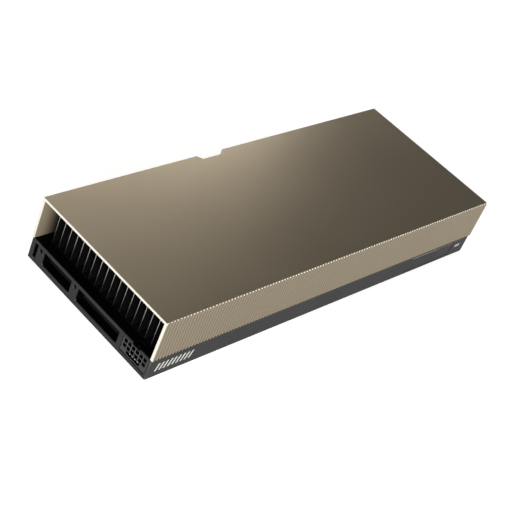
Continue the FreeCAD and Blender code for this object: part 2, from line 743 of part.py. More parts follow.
def make_package():
    """Substrate with the processor die in the middle, memory beside it and a ring round both."""
    side = SUBSTRATE_SIDE
    lone(middle_block("package_substrate", ("0", "0"), (side, side), BOARD_TOP, "substrate_thickness"))
    top = f"{BOARD_TOP} + substrate_thickness"
    ring = new_body("stiffener_ring")
    outline = new_sketch(ring, "XY_Plane", top)
    for width in (side, f"{side} - 2 * ring_width"):
        rectangle(outline, centred("package_from_inlet", width, -1), centred("package_from_inlet", width, 1),
                  centred(PACKAGE_NEAR, width, -1), centred(PACKAGE_NEAR, width, 1))
    pad(ring, outline, "ring_thickness")
    lone(middle_block("processor_die", ("0", "0"), ("die_length", "die_width"), top, "die_thickness"))
    stacks = []
    for side in (-1, 1):
        across = f"{side} * ( die_length / 2 + memory_gap + memory_length / 2)"
        for row in (-1, 0, 1):
            up = f"{row} * ( memory_width + memory_gap)"
            stacks.append(middle_block("memory_stack", (across, up), ("memory_length", "memory_width"),
                                       top, "die_thickness"))
    group("memory_stacks", stacks)


# ---------------------------------------------------------------- heat sink
def make_heatsink_plate():
    """Plate that fills the frame's deck and carries the fins."""
    body = new_body("heatsink_plate")
    plan = new_sketch(body, "XY_Plane", PLATE_UNDER)
    rectangle(plan, "window_end + panel_gap", "card_length - window_end - panel_gap",
              "window_side + panel_gap", f"{WINDOW_FAR} - panel_gap")
    pad(body, plan, "heatsink_plate_thickness")
    groove = new_sketch(body, "XY_Plane", "frame_thickness")
    rectangle(groove, "fin_setback", "card_length - fin_setback", "fin_near_gap - fin_groove_gap",
              "fin_near_gap + fin_thickness + fin_groove_gap")
    cut = pocket(body, groove, "fin_groove")
    repeat(body, cut, "Y_Axis", "fin_count", FIN_SPACING)


def make_vapour_chamber():
    """Flat chamber under the plate, with a pedestal on the processor and four tapped standoffs."""
    body = new_body("vapour_chamber")
    plan = new_sketch(body, "XY_Plane", CHAMBER_UNDER)
    rectangle(plan, centred("package_from_inlet", "chamber_length", -1),
              centred("package_from_inlet", "chamber_length", 1),
              centred(PACKAGE_NEAR, CHAMBER_WIDTH, -1),
              centred(PACKAGE_NEAR, CHAMBER_WIDTH, 1))
    pad(body, plan, "chamber_thickness")
    upright = [f"Edge{index}" for index, edge in enumerate(body.Tip.Shape.Edges, start=1)
               if edge.BoundBox.ZLength > value("chamber_thickness") / 2]
    dress(body, "Chamfer", upright, "chamber_corner")
    pedestal = new_sketch(body, "XY_Plane", DIE_TOP)
    length = "die_length + 2 * memory_length + 3 * memory_gap"
    width = "die_width + memory_gap"
    rectangle(pedestal, centred("package_from_inlet", length, -1), centred("package_from_inlet", length, 1),
              centred(PACKAGE_NEAR, width, -1), centred(PACKAGE_NEAR, width, 1))
    pad(body, pedestal, f"{CHAMBER_UNDER} - {DIE_TOP}")
    standoffs = new_sketch(body, "XY_Plane", BOARD_TOP)
    for across, up in standoff_spots():
        rectangle(standoffs, centred(across, "standoff_side", -1), centred(across, "standoff_side", 1),
                  centred(up, "standoff_side", -1), centred(up, "standoff_side", 1))
    pad(body, standoffs, f"{CHAMBER_UNDER} - {BOARD_TOP}")
    screw_holes(body, "XY_Plane", BOARD_TOP, standoff_spots(), "screw_shank",
                "heatsink_screw_grip + screw_gap")


def make_fins():
    """Upright plates along the duct, each standing in a groove of the plate below."""
    for number in range(int(value("fin_count"))):
        body = new_body(f"fin_{number + 1:02d}")
        face = f"fin_near_gap + {number} * {FIN_SPACING}"
        profile = new_sketch(body, "YZ_Plane", "fin_setback")
        rectangle(profile, face, f"{face} + fin_thickness", "frame_thickness - fin_groove",
                  "card_thickness - shroud_top - fin_top_gap")
        pad(body, profile, "card_length - 2 * fin_setback")


# ---------------------------------------------------------------- board components
def power_row(label, offset, sides, height):
    """Two rows of equal parts, one on each side of the processor, in step with each other."""
    members = []
    count = int(value("power_row_count"))
    for side in (-1, 1):
        for step in range(count):
            up = f"({step} - ( power_row_count - 1 ) / 2 ) * power_row_spacing"
            members.append(middle_block(label + "_member", (f"{side} * {offset}", up), sides,
                                        BOARD_TOP, height))
    return group(label, members)


def make_board_components():
    power_row("power_inductors", "inductor_offset", ("inductor_side", "inductor_side"), "inductor_height")
    power_row("power_stages", "stage_offset", ("stage_length", "stage_width"), "stage_height")
    power_row("bulk_capacitors", "capacitor_offset", ("capacitor_length", "capacitor_width"),
              "capacitor_height")
    pad_floor = f"({BOARD_TOP} + inductor_height)"
    strips = [middle_block("thermal_pad", (f"{side} * inductor_offset", "0"),
                           ("inductor_side", "power_row_count * power_row_spacing"),
                           pad_floor, f"{CHAMBER_UNDER} - {pad_floor}")
              for side in (-1, 1)]
    group("thermal_pads", strips)
    chokes = [block("choke", ["choke_from_inlet", f"choke_first + {step} * choke_spacing", BOARD_TOP],
                    ["choke_side", "choke_side", "choke_height"])
              for step in range(int(value("choke_count")))]
    group("input_chokes", chokes)
    chips = [block("chip", ["card_length - chip_from_outlet", f"{PACKAGE_NEAR} + {step} * chip_spacing",
                            BOARD_TOP],
                   ["chip_side", "chip_side", "chip_height"])
             for step in (-1, 0, 1)]
    group("controller_chips", chips)


# ---------------------------------------------------------------- power receptacle
def make_receptacle():
    """Housing with two rows of power cells, the signal slot under them and a latch ramp on top."""
    body = new_body("power_receptacle")
    gap = "receptacle_gap"
    low = f"receptacle_floor + {gap}"
    high = f"({RECEPTACLE_TOP} - {gap})"
    face = new_sketch(body, "YZ_Plane", "receptacle_recess")
    rectangle(face, f"receptacle_start + {gap}", f"receptacle_start + receptacle_width - {gap}", low, high)
    pad(body, face, "receptacle_depth")
    ramp = new_sketch(body, "XZ_Plane", f"ramp_width / 2 - {RECEPTACLE_MIDDLE}")
    start = "receptacle_recess + ramp_rise"
    polygon(ramp, [(start, high), (f"{start} + ramp_length", high),
                   (f"{start} + ramp_length", f"{high} + ramp_rise"),
                   (f"{start} + ramp_length - ramp_rise", f"{high} + ramp_rise")])
    pad(body, ramp, "ramp_width", reverse=True)

    cut_cells(body, "receptacle_recess", "cell_side", "cell_depth")
    cut_cells(body, "receptacle_recess + cell_depth", "(pin_side + pin_hole_gap)",
              "receptacle_depth - cell_depth")
    signal = new_sketch(body, "YZ_Plane", "receptacle_recess")
    rectangle(signal, centred(RECEPTACLE_MIDDLE, "sense_width", -1),
              centred(RECEPTACLE_MIDDLE, "sense_width", 1), "sense_floor", "sense_floor + sense_height")
    pocket(body, signal, "sense_depth", along_normal=True)


def cut_cells(body, level, side, depth):
    """Cut one square hole in each row and repeat the pair along the housing."""
    holes = new_sketch(body, "YZ_Plane", level)
    for row in ("cell_low_row", "cell_high_row"):
        rectangle(holes, centred(FIRST_CELL, side, -1), centred(FIRST_CELL, side, 1),
                  centred(row, side, -1), centred(row, side, 1))
    cut = pocket(body, holes, depth, along_normal=True)
    repeat(body, cut, "Y_Axis", "cell_columns", "cell_spacing")


def bent_pin(middle, level, drop):
    """A square pin: from its cell out of the housing's back, down to the board and along it."""
    side = value("pin_side")
    half = side / 2
    tip = value("receptacle_recess + pin_recess")
    board = value(BOARD_TOP)
    toe = drop + value("pin_foot")
    corners = [(tip, level - half), (drop, level - half), (drop, board), (toe, board),
               (toe, board + half), (drop + side, board + half),
               (drop + side, level + half), (tip, level + half)]
    spots = [FreeCAD.Vector(across, middle - half, up) for across, up in corners]
    return Part.Face(Part.makePolygon(spots + spots[:1])).extrude(FreeCAD.Vector(0, side, 0))


def make_pins():
    """Power pins soldered to the board behind the housing, and the signal pins in their slot."""
    low_drop = value(f"{RECEPTACLE_BACK} + pin_clearance")
    high_drop = low_drop + value("pin_foot + pin_clearance")
    pins = []
    for column in range(int(value("cell_columns"))):
        middle = value(f"{FIRST_CELL} + {column} * cell_spacing")
        pins.append(bent_pin(middle, value("cell_low_row"), low_drop))
        pins.append(bent_pin(middle, value("cell_high_row"), high_drop))
    coded("power_contacts", pins)
    side = "sense_pin_side"
    low = f"sense_floor + sense_height / 2 - {side} / 2"
    length = "sense_depth - sense_recess"
    signals = []
    for number in range(int(value("sense_pins"))):
        middle = f"({RECEPTACLE_MIDDLE} + ( {number} - ( sense_pins - 1 ) / 2 ) * sense_spacing)"
        signals.append(block("sense_pin", ["receptacle_recess + sense_recess", f"{middle} - {side} / 2", low],
                             [length, side, side]))
    group("sense_contacts", signals)


# ---------------------------------------------------------------- screws
def make_screw(spot, direction, head, shank, head_depth, length):
    """A screw whose flat head lies at a spot; the direction points from its head to its tip."""
    neck = spot + direction * head_depth
    shaft = Part.makeCylinder(shank / 2, length - head_depth, neck, direction)
    return Part.makeCylinder(head / 2, head_depth, spot, direction).fuse(shaft).removeSplitter()


def screw_set(label, spots, direction, sizes):
    """One node of equal screws; the sizes are the formulas that make_screw takes, in its order."""
    numbers = [value(text) for text in sizes]
    coded(label, [make_screw(spot, direction, *numbers) for spot in spots])


def level_spots(spots, level):
    """Points at one level over the formulas of their plan positions."""
    return [FreeCAD.Vector(value(across), value(up), value(level)) for across, up in spots]


def make_screws():
    """Screws through the backplate and the board, and the small ones through the shroud's wall."""
    upward = FreeCAD.Vector(0, 0, 1)
    inward = FreeCAD.Vector(0, -1, 0)
    seat = "underside_gap - screw_head_depth"
    screw_set("backplate_screws", level_spots(perimeter_spots(), "0"), upward,
              ("screw_head", "screw_shank", "screw_head_depth", f"{BOARD_TOP} + screw_grip"))
    screw_set("heatsink_screws", level_spots(standoff_spots(), seat), upward,
              ("screw_head", "screw_shank", "screw_head_depth",
               f"{BOARD_TOP} + heatsink_screw_grip - ( {seat})"))
    face = value("shroud_width + shroud_screw_head_depth")
    screw_set("shroud_screws", [FreeCAD.Vector(value(across), face, value(up))
                                for across, up in shroud_screw_spots()], inward,
              ("shroud_screw_head", "shroud_screw_shank", "shroud_screw_head_depth",
               "shroud_screw_head_depth + shroud_wall + panel_gap + locating_rib"))


# ---------------------------------------------------------------- check and write
def write_parts():
    """Stop on any failed object, then write each sub-part to a STEP file of its own."""
    doc.recompute()
    for thing in doc.Objects:
        if "Invalid" in thing.State or "Error" in thing.State:
            raise ValueError(f"{thing.Label} failed: {thing.State}")
    for thing in SUBPARTS:
        if thing.Shape.isNull() or not thing.Shape.isValid():
            raise ValueError(f"{thing.Label} has no valid shape")
    os.makedirs("parts", exist_ok=True)
    for thing in SUBPARTS:
        thing.Shape.exportStep(f"parts/{thing.Label}.step")


make_shroud()
make_base_frame()
make_backplate()
make_insulator()
make_circuit_board()
make_contacts()
make_bridge_cover()
make_package()
make_heatsink_plate()
make_vapour_chamber()
make_fins()
make_board_components()
make_receptacle()
make_pins()
make_screws()
write_parts()
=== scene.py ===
import math

import bmesh
import bpy
from mathutils import Matrix, Vector


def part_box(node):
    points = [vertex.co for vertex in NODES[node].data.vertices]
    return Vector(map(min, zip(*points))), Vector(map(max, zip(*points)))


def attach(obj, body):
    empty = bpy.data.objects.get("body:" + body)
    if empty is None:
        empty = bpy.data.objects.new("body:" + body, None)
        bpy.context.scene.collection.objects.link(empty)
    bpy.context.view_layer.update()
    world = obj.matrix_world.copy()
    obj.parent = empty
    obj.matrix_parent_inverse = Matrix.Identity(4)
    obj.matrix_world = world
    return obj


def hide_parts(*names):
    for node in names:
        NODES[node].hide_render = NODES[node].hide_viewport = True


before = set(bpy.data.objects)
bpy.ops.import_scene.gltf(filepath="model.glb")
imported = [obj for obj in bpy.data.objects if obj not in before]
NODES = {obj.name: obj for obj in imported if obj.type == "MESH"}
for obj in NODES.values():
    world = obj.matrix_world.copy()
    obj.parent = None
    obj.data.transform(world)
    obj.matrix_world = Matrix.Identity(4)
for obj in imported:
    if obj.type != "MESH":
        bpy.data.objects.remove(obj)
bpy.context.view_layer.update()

MM = 0.001
SHROUD_LOW, SHROUD_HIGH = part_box("shroud")
FRAME_LOW, FRAME_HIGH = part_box("base_frame")

# ---------------------------------------------------------------- sizes and settings
# Camera: where it stands, and the directions in which its picture runs. Lengths in millimetres.
CAMERA_PLACE = (-0.54763, -0.34337, 0.45798)
CAMERA_RIGHT = Vector((0.683223, -0.653452, 0.325894))
CAMERA_DOWN = Vector((-0.241304, -0.623272, -0.743844))
CAMERA_FORWARD = Vector((0.689187, 0.429572, -0.583514))
CAMERA_LENS = 96.754
CAMERA_SENSOR = 36.0

# Lamps: name, place, the point it faces, width and height, watts, colour.
LAMPS = (
    ("back_box", (0.71, 1.055, 0.32), (0.0, 0.0, 0.0), (0.92, 0.82), 10.5, (1.0, 0.98, 0.95)),
    ("front_box", (-0.60, -0.37, 0.13), (-0.134, -0.03, 0.015), (0.34, 0.16), 5.0,
     (1.0, 0.99, 0.97)),
    ("edge_box", (0.83, -0.70, 0.52), (0.0, -0.05, 0.03), (0.6, 0.4), 2.2, (1.0, 0.99, 0.97)),
)

# Floor and room. Where it is seen, the floor is lifted by its first value near the card and by its
# second far away, between these distances. The room is white below the second height, and grey
# above the first.
FLOOR_REACH = 8.0
FLOOR_DROP = 0.02 * MM
FLOOR_GREY = (0.6, 0.6, 0.6, 1.0)
FLOOR_LIFT = (0.8, 0.95)
FLOOR_LIFT_DISTANCES = (0.8, 2.5)
ROOM_GREY = (0.17, 0.17, 0.17, 1.0)
ROOM_HEIGHTS = (0.30, 0.02)
WHITE = (1.0, 1.0, 1.0, 1.0)

# Shroud.
RIB_DEPTH = 1.0 * MM
CREST_BEVEL = 0.55 * MM  # what the bevel along the top takes from each crest
INSIDE_FROM = 1.5 * MM  # an inward face this far in from the outer sides is the duct's inside
CEILING_WITHIN = 2 * MM  # and so is a downward face this close to the top

# Meshes: corners this near are one, faces this near to level are one, and edges sharper than this
# are broken, but for those within a margin of a spared box.
SAME_PLACE = 0.001 * MM
SAME_PLANE = math.radians(1.0)
SHARP_EDGE = math.radians(25)
SPARED_MARGIN = 0.3 * MM

# Screws: the underside's heads, every head's broken edge, and the star recess.
UP = Vector((0, 0, 1))
BACK = Vector((0, 1, 0))
HEAD_RADIUS = 2.0 * MM
HEAD_EDGE = 0.12 * MM
STAR_POINTS = 36
STAR_LOBES = 6
STAR_WAVE = 0.14

# Printed bars on the frame's near face.
PRINT_THICKNESS = 0.02 * MM
PRINT_SLANT = 0.35

# Colours, as linear red, green and blue.
GOLD_DARK, GOLD_LIGHT = (0.318, 0.262, 0.182), (0.348, 0.292, 0.205)
GOLD_SPARK = (0.43, 0.365, 0.262)
# The bevel colour is lighter partly as wear and partly as a painted highlight.
GOLD_BEVEL_WEAR_AND_HIGHLIGHT = (0.58, 0.53, 0.43)
GOLD_CUT = (0.86, 0.83, 0.745)
# The fins' near black, and the darkening of their cut edges downwards, are painted shade.
FIN_PAINTED_SHADE_DARK, FIN_PAINTED_SHADE_LIGHT = (0.002, 0.002, 0.002), (0.005, 0.005, 0.005)
FIN_CUT_PAINTED_SHADE, FIN_CUT_HIGH = (0.03, 0.03, 0.03), (0.62, 0.61, 0.58)
# Edge colour for black parts, lighter partly as wear and partly as a painted highlight.
WORN_AND_HIGHLIGHT_BLACK = (0.11, 0.11, 0.108)

# Masks from a normal's part along an axis, as it goes from its first value to its second.
SQUARE_TO_AXIS = (0.9, 0.97)
OFF_EVERY_AXIS = (0.985, 0.93)

# Slow drift, in waves to the metre, and what it does to the roughness either way.
DRIFT = 35.0
DRIFT_ROUGHNESS = 0.06
GOLD_DRIFT = 14.0
GOLD_DRIFT_ROUGHNESS = 0.03
GOLD_GRAIN = 8000.0
FIN_GRAIN = 3000.0

# Painted shade that a colour is multiplied by: in the grooves, over the ribbed near wall,
# inside the duct, and in the frame's and the receptacle's hollows.
PAINTED_GROOVE_SHADE = (0.47, 0.47, 0.48)
PAINTED_RIB_SHADE = (0.89, 0.90, 0.92)
INSIDE_PAINTED_SHADE = (0.04, 0.04, 0.04)
PAINTED_DEEP_SHADE = (0.1, 0.1, 0.1)


# ---------------------------------------------------------------- scene objects
def add_object(name, data):
    """An object for a mesh, a lamp or a camera, linked to the scene."""
    made = bpy.data.objects.new(name, data)
    bpy.context.scene.collection.objects.link(made)
    return made


def finished_mesh(name, shape):
    """A mesh made from a bmesh, which is freed."""
    mesh = bpy.data.meshes.new(name)
    shape.to_mesh(mesh)
    shape.free()
    return mesh


def make_camera():
    """A long lens that looks down on the inlet's near corner, rolled as the picture is."""
    data = bpy.data.cameras.new("camera")
    data.lens = CAMERA_LENS
    data.sensor_width = CAMERA_SENSOR
    data.clip_start = 0.01
    camera = add_object("camera", data)
    turn = Matrix((CAMERA_RIGHT, -CAMERA_DOWN, -CAMERA_FORWARD)).transposed().to_4x4()
    camera.matrix_world = Matrix.Translation(CAMERA_PLACE) @ turn
    bpy.context.scene.camera = camera


def make_lamp(name, place, aim, size, power, colour):
    """A soft rectangular lamp that faces a point, hidden from the camera itself."""
    data = bpy.data.lights.new(name, "AREA")
    data.shape = "RECTANGLE"
    data.size, data.size_y = size
    data.energy = power
    data.color = colour
    lamp = add_object(name, data)
    lamp.location = place
    lamp.visible_camera = False
    lamp.rotation_euler = (Vector(aim) - Vector(place)).to_track_quat("-Z", "Y").to_euler()


# ---------------------------------------------------------------- node helpers
class Graph:
    """Short calls for building one node tree."""

    def __init__(self, tree):
        self.tree = tree

    def node(self, kind, **settings):
        """A new shader node with some of its settings."""
        made = self.tree.nodes.new("ShaderNode" + kind)
        for key, setting in settings.items():
            setattr(made, key, setting)
        return made

    def feed(self, socket, source):
        """Link a socket to another node's output, or set it to a plain value."""
        if isinstance(source, bpy.types.NodeSocket):
            self.tree.links.new(source, socket)
        elif source is not None:
            socket.default_value = source

    def math(self, operation, first, second=None, third=None, clamp=False):
        """One operation on up to three numbers."""
        made = self.node("Math", operation=operation, use_clamp=clamp)
        for socket, source in zip(made.inputs, (first, second, third)):
            self.feed(socket, source)
        return made.outputs[0]

    def step(self, source, low, high):
        """0 below low, 1 above high, smooth between; high may be the smaller."""
        made = self.node("MapRange", interpolation_type="SMOOTHSTEP")
        for socket, value in zip(made.inputs, (source, low, high, 0.0, 1.0)):
            self.feed(socket, value)
        return made.outputs[0]

    def span(self, source, low, high):
        """Linear from low to high as the source goes from 0 to 1."""
        return self.math("MULTIPLY_ADD", source, high - low, low)

    def split(self, source):
        """The three parts of a vector."""
        made = self.node("SeparateXYZ")
        self.feed(made.inputs[0], source)
        return made.outputs

    def place(self):
        """Object coordinates in metres, and their three parts."""
        spot = self.node("TexCoord").outputs["Object"]
        return spot, self.split(spot)

    def facing(self):
        """The three parts of the surface's own normal."""
        return self.split(self.node("TexCoord").outputs["Normal"])

    def broken_edge(self):
        """1 on the narrow faces that break a square edge, 0 on the faces they join."""
        sides = [self.math("ABSOLUTE", part) for part in self.facing()]
        most = self.math("MAXIMUM", self.math("MAXIMUM", sides[0], sides[1]), sides[2])
        return self.step(most, *OFF_EVERY_AXIS)

    def noise(self, spot, scale, detail):
        """Noise of a scale in waves to the metre."""
        made = self.node("TexNoise")
        self.feed(made.inputs["Vector"], spot)
        made.inputs["Scale"].default_value = scale
        made.inputs["Detail"].default_value = detail
        return made.outputs["Fac"]

    def mix(self, factor, first, second, blend="MIX"):
        """The first colour where the factor is 0, the second or the blend of both where it is 1."""
        made = self.node("Mix", data_type="RGBA", blend_type=blend)
        self.feed(made.inputs["Factor"], factor)
        self.feed(made.inputs[6], first)
        self.feed(made.inputs[7], second)
        return made.outputs[2]

    def shade(self, factor, colour, tint):
        """The colour multiplied by a tint where the factor is 1."""
        return self.mix(factor, colour, opaque(tint), "MULTIPLY")

    def inside(self, part, low, high, start, end):
        """0 up to a start distance from either limit along one axis, 1 beyond an end distance."""
        nearest = self.math("MINIMUM", self.math("SUBTRACT", part, low),
                            self.math("SUBTRACT", high, part))
        return self.step(nearest, start, end)

    def seen(self):
        """1 for rays that show the background: straight from the camera, or in metal and glass."""
        rays = self.node("LightPath").outputs
        gloss = self.math("MAXIMUM", rays["Is Glossy Ray"], rays["Is Transmission Ray"])
        return self.math("MAXIMUM", rays["Is Camera Ray"], gloss)

    def bump(self, height, distance, strength=1.0):
        """A normal for a height field whose full height is a distance in metres."""
        made = self.node("Bump")
        made.inputs["Strength"].default_value = strength
        made.inputs["Distance"].default_value = distance
        self.feed(made.inputs["Height"], height)
        return made.outputs[0]


def opaque(colour, factor=1.0):
    """A colour, scaled if need be, as the four numbers that a socket takes."""
    return tuple(part * factor for part in colour) + (1.0,)


def only_node(tree, kind):
    """The one node of its kind that a new tree holds."""
    return [node for node in tree.nodes if node.type == kind][0]


def new_material(name):
    """An empty material, its node tree and its shader."""
    material = bpy.data.materials.new(name)
    material.use_nodes = True
    tree = material.node_tree
    return material, Graph(tree), only_node(tree, "BSDF_PRINCIPLED")


# ---------------------------------------------------------------- materials
def grained(name, colour, metallic, roughness, grain, depth,
            spread=0.12, gloss=0.5, worn_and_highlight=None, painted_shade_mask=None):
    """A moulded, cast, coated or plated surface, with fine grain, slow drift and uneven gloss.

    grain and depth are the grain's size and height in millimetres. spread is how far the tones go
    to both sides of the colour. worn is the colour of edges that are lighter partly as wear and
    partly as a painted highlight. deep makes a mask of painted shade: the parts that no light
    reaches are painted black and dull.
    """
    material, graph, shader = new_material(name)
    spot, parts = graph.place()
    fine = graph.noise(spot, 1.0 / (grain * MM), 3.0)
    slow = graph.noise(spot, DRIFT, 3.0)
    tone = graph.math("MULTIPLY_ADD", fine, 0.5, graph.math("MULTIPLY", slow, 0.5))
    tint = graph.mix(tone, opaque(colour, 1.0 - spread), opaque(colour, 1.0 + spread))
    in_painted_shade = painted_shade_mask(graph, parts, graph.facing()) if painted_shade_mask else None
    # Broken edges are made lighter, partly as wear and partly as a painted highlight.
    if worn_and_highlight:
        wear_and_highlight = graph.math("MULTIPLY", graph.broken_edge(), graph.step(slow, 0.3, 0.6))
        if painted_shade_mask:
            wear_and_highlight = graph.math("SUBTRACT", wear_and_highlight, in_painted_shade, clamp=True)
        tint = graph.mix(wear_and_highlight, tint, opaque(worn_and_highlight))
    # Painted shade: where no light reaches, the colour is darkened and the gloss lowered.
    if painted_shade_mask:
        tint = graph.shade(in_painted_shade, tint, PAINTED_DEEP_SHADE)
        graph.feed(shader.inputs["Specular IOR Level"], graph.span(in_painted_shade, gloss, 0.1 * gloss))
    else:
        shader.inputs["Specular IOR Level"].default_value = gloss
    graph.feed(shader.inputs["Base Color"], tint)
    uneven = graph.span(slow, roughness - DRIFT_ROUGHNESS, roughness + DRIFT_ROUGHNESS)
    graph.feed(shader.inputs["Roughness"], uneven)
    graph.feed(shader.inputs["Normal"], graph.bump(fine, depth * MM))
    shader.inputs["Metallic"].default_value = metallic
    return material


def frame_painted_shade(graph, parts, normal):
    """Painted shade: 1 inside the cast frame and most of 1 on the deck under the duct."""
    along = graph.inside(parts[0], FRAME_LOW.x, FRAME_HIGH.x, 0.2 * MM, 1.0 * MM)
    across = graph.inside(parts[1], FRAME_LOW.y, FRAME_HIGH.y, 0.4 * MM, 1.5 * MM)
    within = graph.math("MULTIPLY", along, across)
    below = graph.step(parts[2], FRAME_HIGH.z - 0.05 * MM, FRAME_HIGH.z - 0.3 * MM)
    level = graph.step(normal[2], *SQUARE_TO_AXIS)
    deck = graph.math("MULTIPLY", level, graph.math("SUBTRACT", 1.0, below))
    return graph.math("MAXIMUM", graph.math("MULTIPLY", within, below),
                      graph.math("MULTIPLY", deck, 0.7))


def housing_painted_shade(graph, parts, normal):
    """Painted shade: 1 inside the cells of the power receptacle."""
    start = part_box("power_receptacle")[0].x
    return graph.step(parts[0], start + 0.06 * MM, start + 0.5 * MM)


def champagne(name, metallic, roughness, painted_shade_inside=False):
    """Blasted champagne anodising: painted shade in the grooves and over the ribbed near wall,
    a bevel along the crests made lighter partly as wear and partly as a painted highlight, and
    bare cut ends.

    A shaded one is for the inside of the duct, and fades to black away from both open ends as
    painted shade.
    """
    material, graph, shader = new_material(name)
    spot, parts = graph.place()
    normal = graph.facing()
    fine = graph.noise(spot, GOLD_GRAIN, 2.0)
    slow = graph.noise(spot, GOLD_DRIFT, 2.0)
    gold = graph.mix(slow, opaque(GOLD_DARK), opaque(GOLD_LIGHT))
    gold = graph.mix(graph.math("MULTIPLY", fine, 0.35), gold, opaque(GOLD_SPARK))

    depth = graph.math("SUBTRACT", parts[1], SHROUD_LOW.y)
    lean = graph.math("ABSOLUTE", normal[2])
    near = graph.step(depth, 1.3 * RIB_DEPTH, 1.05 * RIB_DEPTH)
    ribbed = graph.math("MULTIPLY", near, graph.step(lean, 0.5, 0.3))
    # Painted shade darkens the groove bottoms of the ribbed near wall.
    painted_groove_shade = graph.math("MULTIPLY", graph.step(depth, 0.1 * RIB_DEPTH, RIB_DEPTH), ribbed)
    gold = graph.shade(painted_groove_shade, gold, PAINTED_GROOVE_SHADE)
    # Painted shade darkens the whole ribbed near wall.
    gold = graph.shade(ribbed, gold, PAINTED_RIB_SHADE)
    # The crest bevel is made lighter, partly as wear and partly as a painted highlight.
    bevel = graph.math("MULTIPLY", graph.step(lean, 0.3, 0.5), graph.step(lean, 0.97, 0.92))
    wear_and_highlight = graph.math("MULTIPLY", bevel, graph.span(slow, 0.7, 1.0))
    gold = graph.mix(wear_and_highlight, gold, opaque(GOLD_BEVEL_WEAR_AND_HIGHLIGHT))
    if painted_shade_inside:
        # Painted shade: the inside fades to black away from both open ends.
        in_painted_shade = graph.inside(parts[0], SHROUD_LOW.x, SHROUD_HIGH.x, 1.0 * MM, 14.0 * MM)
        gold = graph.shade(in_painted_shade, gold, INSIDE_PAINTED_SHADE)

    endways = graph.step(graph.math("ABSOLUTE", normal[0]), *SQUARE_TO_AXIS)
    at_end = graph.step(graph.math("ABSOLUTE", parts[0]),
                        SHROUD_HIGH.x - 0.4 * MM, SHROUD_HIGH.x - 0.2 * MM)
    cut = graph.math("MULTIPLY", endways, at_end)
    graph.feed(shader.inputs["Base Color"], graph.mix(cut, gold, opaque(GOLD_CUT)))
    uneven = graph.span(slow, roughness - GOLD_DRIFT_ROUGHNESS, roughness + GOLD_DRIFT_ROUGHNESS)
    graph.feed(shader.inputs["Roughness"], graph.math("MULTIPLY_ADD", cut, 0.18, uneven))
    graph.feed(shader.inputs["Normal"], graph.bump(fine, 0.012 * MM, 0.5))
    shader.inputs["Metallic"].default_value = metallic
    return material


def fin_material():
    """Fin sheet painted near black as painted shade.

    Its cut edges at both ends of the duct are bare, and fade downwards as painted shade.
    """
    material, graph, shader = new_material("fin_sheet")
    spot, parts = graph.place()
    fine = graph.noise(spot, FIN_GRAIN, 2.0)
    cut = graph.step(graph.math("ABSOLUTE", graph.facing()[0]), 0.8, 0.95)
    # The fin faces' near black is painted shade, and the cut edges darken downwards as painted
    # shade.
    black = graph.mix(fine, opaque(FIN_PAINTED_SHADE_DARK), opaque(FIN_PAINTED_SHADE_LIGHT))
    height = graph.step(parts[2], FRAME_HIGH.z - 2 * MM, SHROUD_HIGH.z)
    bare = graph.mix(height, opaque(FIN_CUT_PAINTED_SHADE), opaque(FIN_CUT_HIGH))
    graph.feed(shader.inputs["Base Color"], graph.mix(cut, black, bare))
    graph.feed(shader.inputs["Metallic"], graph.math("MULTIPLY", cut, 0.7))
    graph.feed(shader.inputs["Normal"], graph.bump(fine, 0.01 * MM, 0.4))
    shader.inputs["Roughness"].default_value = 0.5
    shader.inputs["Specular IOR Level"].default_value = 0.1
    return material


